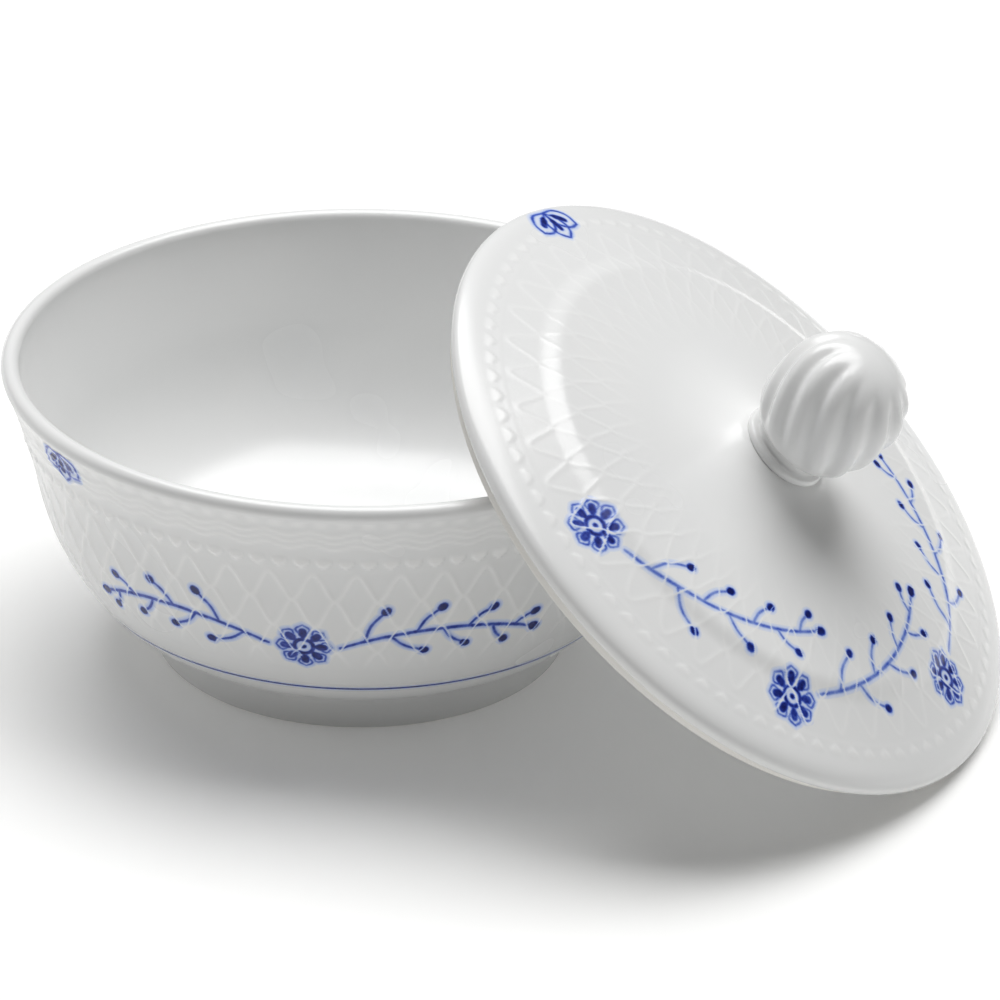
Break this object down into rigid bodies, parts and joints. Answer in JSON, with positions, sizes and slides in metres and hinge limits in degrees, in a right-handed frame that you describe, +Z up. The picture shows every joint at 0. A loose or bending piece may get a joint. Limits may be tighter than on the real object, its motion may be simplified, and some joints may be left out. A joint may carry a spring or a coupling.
{
  "type": "covered rice bowl",
  "caption": "Footed porcelain rice bowl with a rolled lip, and its separate domed lid with a fluted knob, leaning on the rim of the open bowl.",
  "frame": {"origin": "centre of the foot ring's resting land, on the table", "axes": "+Z up the bowl's own axis; the lid leans on the +X side of the rim, turned 21.6 degrees towards -Y"},
  "size_m": [0.1686, 0.1394, 0.0772],
  "materials": {
    "bowl_porcelain": "clear glaze over white porcelain with moulded relief; the foot's resting land is bare",
    "lid_porcelain": "clear glaze over white porcelain with moulded relief",
    "knob_porcelain": "clear glaze over white porcelain",
    "cobalt_underglaze": "hand-painted cobalt blue under the clear glaze"
  },
  "bodies": {
    "bowl_body": {"bowl": "bowl_porcelain"},
    "lid_body": {"lid": "lid_porcelain", "lid_knob": "knob_porcelain"}
  },
  "joints": [
    {"name": "lid_lift", "type": "slide", "parent": "bowl_body", "child": "lid_body", "axis": [0, 0, 1], "range_m": [0, 0.065]}
  ]
}
